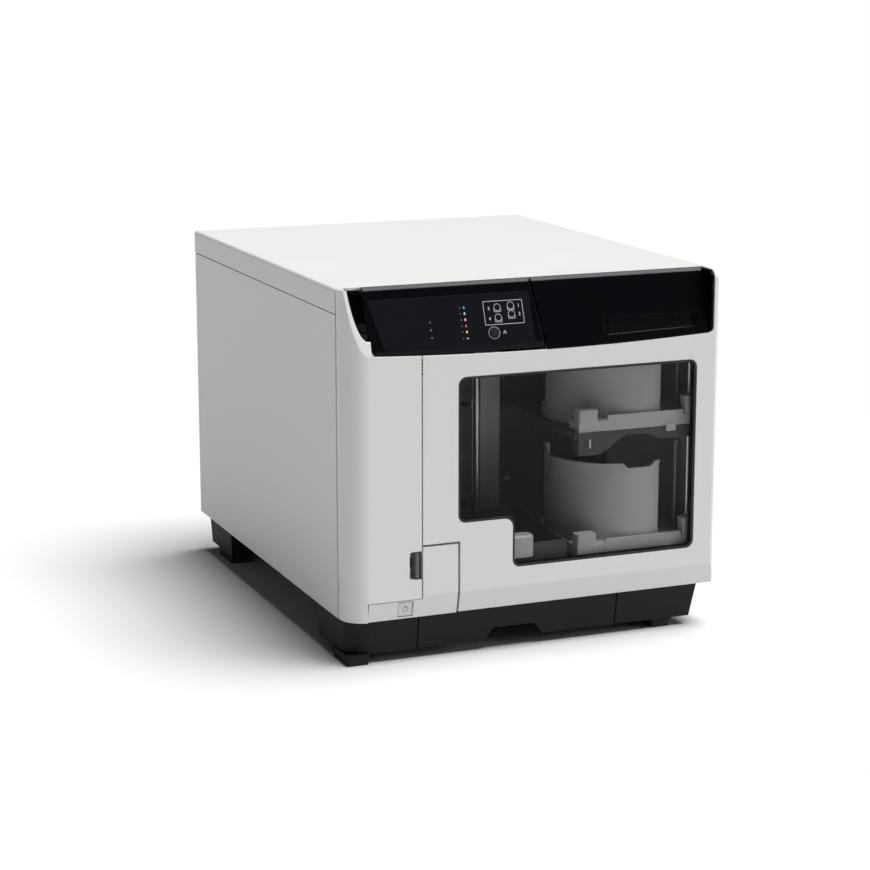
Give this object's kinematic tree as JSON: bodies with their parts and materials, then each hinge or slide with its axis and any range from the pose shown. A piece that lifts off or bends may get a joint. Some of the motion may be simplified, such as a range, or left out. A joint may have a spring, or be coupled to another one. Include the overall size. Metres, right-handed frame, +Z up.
{
  "type": "disc label printer",
  "caption": "Desktop disc burning and label printing machine: white box on a black plinth, black control strip, smoked front window, disc stackers, lift arm, drives and ink bay inside.",
  "frame": {"origin": "middle of the footprint, at the level of the feet", "axes": "+Z up, -Y to the front with the window and the controls, +X to the right seen from the front"},
  "size_m": [0.377, 0.465, 0.348],
  "materials": {
    "white_paint": "fine satin paint",
    "white_plastic": "satin moulding",
    "gloss_black": "polished",
    "overlay_film": "matt printed film",
    "smoked_glass": "smoked clear sheet",
    "black_plastic": "fine grained moulding",
    "grey_plastic": "satin moulding",
    "cartridge_plastic": "satin moulding",
    "rubber": "matt",
    "bright_steel": "ground and polished",
    "zinc_steel": "zinc plated sheet",
    "dark_steel": "dark satin paint",
    "board": "circuit board laminate"
  },
  "bodies": {
    "chassis": {"bulkhead": "dark_steel", "column_foot": "zinc_steel", "column_head": "zinc_steel", "control_overlay": "overlay_film", "control_panel": "gloss_black", "corner_post": "bright_steel", "disc_drive_1": "dark_steel", "disc_drive_2": "dark_steel", "drive_cage": "zinc_steel", "fan_frame": "black_plastic", "floor_plate": "zinc_steel", "front_lower_frame": "white_plastic", "front_plinth_centre": "black_plastic", "front_plinth_left": "black_plastic", "front_plinth_right": "black_plastic", "guide_shaft": "bright_steel", "head_rod": "bright_steel", "hinge_pins": "bright_steel", "ink_bay": "black_plastic", "ink_cartridge_1": "cartridge_plastic", "ink_cartridge_2": "cartridge_plastic", "ink_cartridge_3": "cartridge_plastic", "ink_cartridge_4": "cartridge_plastic", "ink_cartridge_5": "cartridge_plastic", "ink_cartridge_6": "cartridge_plastic", "lift_column": "zinc_steel", "lift_motor": "dark_steel", "main_board": "board", "mains_inlet": "black_plastic", "power_supply": "zinc_steel", "printer_housing": "black_plastic", "rear_panel": "white_paint", "rear_plinth": "black_plastic", "reject_tray": "black_plastic", "reject_tray_handle": "grey_plastic", "rubber_feet": "rubber", "side_panel_left": "white_paint", "side_panel_right": "white_paint", "stacker_lower": "grey_plastic", "stacker_pedestal": "black_plastic", "stacker_shelf": "black_plastic", "stacker_upper": "grey_plastic", "top_cover": "white_paint"},
    "disc_cover": {"disc_cover_frame": "white_plastic", "disc_cover_window": "smoked_glass", "disc_cover_fascia": "gloss_black", "fascia_lens": "smoked_glass"},
    "ink_cover": {"ink_cover": "white_plastic"},
    "ink_latch": {"ink_cover_latch": "grey_plastic"},
    "power_button": {"power_button": "white_plastic"},
    "panel_button": {"panel_button": "black_plastic"},
    "drive_tray_1": {"drive_tray_1": "black_plastic"},
    "drive_tray_2": {"drive_tray_2": "black_plastic"},
    "printer_tray": {"printer_tray": "black_plastic"},
    "print_head": {"print_head": "black_plastic"},
    "lift_carriage": {"lift_carriage": "black_plastic"},
    "lead_screw": {"lead_screw": "bright_steel"},
    "lift_arm": {"lift_arm": "black_plastic"},
    "gripper": {"gripper_plunger": "bright_steel"},
    "fan_rotor": {"fan_rotor": "black_plastic"}
  },
  "joints": [
    {"name": "disc_cover_hinge", "type": "hinge", "parent": "chassis", "child": "disc_cover", "pos_m": [0.186, -0.2081, 0.19], "axis": [0, 0, 1], "range_deg": [0, 105]},
    {"name": "ink_cover_hinge", "type": "hinge", "parent": "chassis", "child": "ink_cover", "pos_m": [-0.186, -0.2081, 0.19], "axis": [0, 0, -1], "range_deg": [0, 105]},
    {"name": "ink_latch_slide", "type": "slide", "parent": "ink_cover", "child": "ink_latch", "axis": [-1, 0, 0], "range_m": [0, 0.0025], "stiffness_N_per_m": 300, "springref_m": -0.001},
    {"name": "power_button_press", "type": "slide", "parent": "chassis", "child": "power_button", "axis": [0, 1, 0], "range_m": [0, 0.002], "stiffness_N_per_m": 400, "springref_m": -0.001},
    {"name": "panel_button_press", "type": "slide", "parent": "chassis", "child": "panel_button", "axis": [0, 0.9379, -0.3469], "range_m": [0, 0.001], "stiffness_N_per_m": 400, "springref_m": -0.001},
    {"name": "drive_tray_1_slide", "type": "slide", "parent": "chassis", "child": "drive_tray_1", "axis": [0, -1, 0], "range_m": [0, 0.13252]},
    {"name": "drive_tray_2_slide", "type": "slide", "parent": "chassis", "child": "drive_tray_2", "axis": [0, -1, 0], "range_m": [0, 0.13252]},
    {"name": "printer_tray_slide", "type": "slide", "parent": "chassis", "child": "printer_tray", "axis": [0, -1, 0], "range_m": [0, 0.13252]},
    {"name": "print_head_slide", "type": "slide", "parent": "chassis", "child": "print_head", "axis": [1, 0, 0], "range_m": [-0.04, 0.04]},
    {"name": "lift_slide", "type": "slide", "parent": "chassis", "child": "lift_carriage", "axis": [0, 0, -1], "range_m": [0, 0.165]},
    {"name": "lead_screw_turn", "type": "hinge", "parent": "chassis", "child": "lead_screw", "pos_m": [0.0096, -0.05, 0.2], "axis": [0, 0, 1], "range_deg": [0, 2972]},
    {"name": "lift_arm_swing", "type": "hinge", "parent": "lift_carriage", "child": "lift_arm", "pos_m": [0.024, -0.09, 0.31], "axis": [0, 0, 1], "range_deg": [0, 111.81]},
    {"name": "gripper_press", "type": "slide", "parent": "lift_arm", "child": "gripper", "axis": [0, 0, -1], "range_m": [0, 0.002], "stiffness_N_per_m": 150, "springref_m": -0.001},
    {"name": "fan_spin", "type": "hinge", "parent": "chassis", "child": "fan_rotor", "pos_m": [0.105, 0.218, 0.225], "axis": [0, 1, 0], "continuous": true}
  ],
  "couplings": [
    {"joint": "lead_screw_turn", "follows": "lift_slide", "rad_per_m": 314.16}
  ]
}
